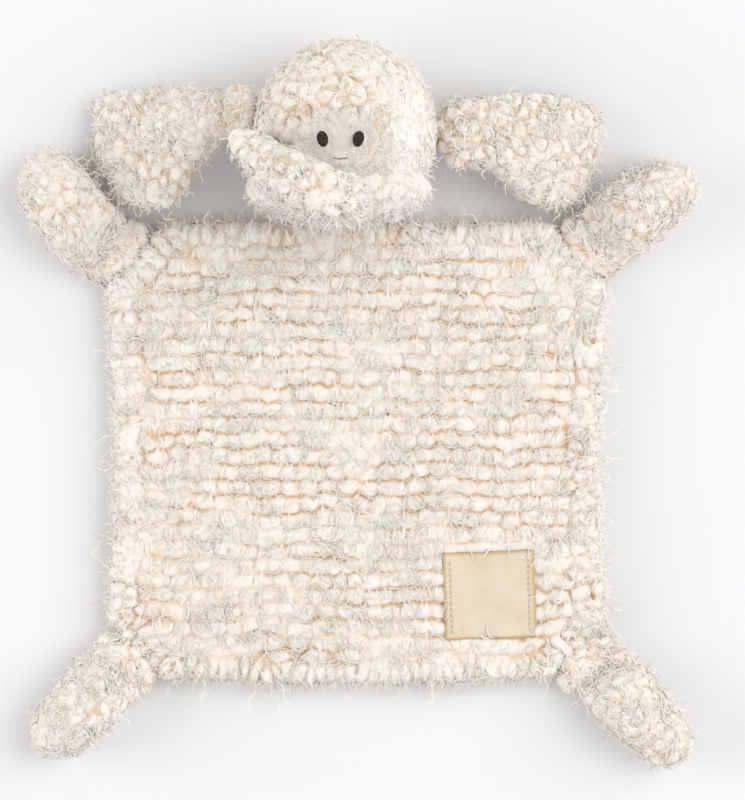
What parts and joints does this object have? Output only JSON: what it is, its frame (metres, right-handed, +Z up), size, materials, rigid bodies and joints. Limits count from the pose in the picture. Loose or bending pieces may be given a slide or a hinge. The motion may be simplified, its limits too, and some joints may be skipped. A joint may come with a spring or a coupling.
{
  "type": "comfort blanket lovey",
  "caption": "Plush comfort blanket: a tufted square blanket with a stuffed head, trunk, floppy ears and stuffed corner paws.",
  "frame": {"origin": "middle of the blanket's underside, where it lies on the table", "axes": "+Z up from the table, out of the toy's face; +Y from the blanket to the head; +X to the right of the picture, the toy's own left"},
  "size_m": [0.4101, 0.4373, 0.1239],
  "materials": {
    "tufted_pile": "matte",
    "back_pile": "matte",
    "label_weave": "matte",
    "label_thread": "matte",
    "head_pile": "matte",
    "filling": "matte",
    "neck_cloth": "matte",
    "eye_thread": "satin",
    "mouth_thread": "satin",
    "trunk_pile": "matte",
    "ear_pile": "matte",
    "paw_pile": "matte"
  },
  "bodies": {
    "blanket": {"blanket_back": "back_pile", "blanket_front": "tufted_pile", "label": "label_weave", "label_thread_left": "label_thread", "label_thread_right": "label_thread"},
    "head": {"head_front_cover": "head_pile", "head_back_cover": "head_pile", "head_filling": "filling", "neck": "neck_cloth", "left_eye": "eye_thread", "right_eye": "eye_thread", "mouth": "mouth_thread"},
    "trunk": {"trunk_cover": "trunk_pile", "trunk_filling": "filling"},
    "left_ear": {"left_ear_front": "ear_pile", "left_ear_back": "ear_pile"},
    "right_ear": {"right_ear_front": "ear_pile", "right_ear_back": "ear_pile"},
    "left_arm": {"left_arm_cover": "paw_pile", "left_arm_filling": "filling"},
    "right_arm": {"right_arm_cover": "paw_pile", "right_arm_filling": "filling"},
    "left_leg": {"left_leg_cover": "paw_pile", "left_leg_filling": "filling"},
    "right_leg": {"right_leg_cover": "paw_pile", "right_leg_filling": "filling"}
  },
  "joints": [
    {"name": "neck_fold", "type": "hinge", "parent": "blanket", "child": "head", "pos_m": [-0.006, 0.1443, 0.014], "axis": [1, 0, 0], "range_deg": [0, 45]},
    {"name": "trunk_lift", "type": "hinge", "parent": "head", "child": "trunk", "pos_m": [-0.008, 0.155, 0.10417], "axis": [0.4848, 0.8746, 0], "range_deg": [0, 60]},
    {"name": "left_ear_lift", "type": "hinge", "parent": "head", "child": "left_ear", "pos_m": [-0.06838, 0.20626, 0.046], "axis": [0.2079, 0.9781, 0], "range_deg": [0, 75]},
    {"name": "right_ear_lift", "type": "hinge", "parent": "head", "child": "right_ear", "pos_m": [0.0578, 0.193, 0.046], "axis": [0, -1, 0], "range_deg": [0, 75]},
    {"name": "left_arm_lift", "type": "hinge", "parent": "blanket", "child": "left_arm", "pos_m": [-0.14349, 0.12246, 0.009], "axis": [0.7071, 0.7071, 0], "range_deg": [0, 65]},
    {"name": "right_arm_lift", "type": "hinge", "parent": "blanket", "child": "right_arm", "pos_m": [0.14052, 0.12543, 0.009], "axis": [0.7071, -0.7071, 0], "range_deg": [0, 65]},
    {"name": "left_leg_lift", "type": "hinge", "parent": "blanket", "child": "left_leg", "pos_m": [-0.1401, -0.1261, 0.009], "axis": [-0.7071, 0.7071, 0], "range_deg": [0, 65]},
    {"name": "right_leg_lift", "type": "hinge", "parent": "blanket", "child": "right_leg", "pos_m": [0.13883, -0.12737, 0.009], "axis": [-0.7071, -0.7071, 0], "range_deg": [0, 65]}
  ]
}
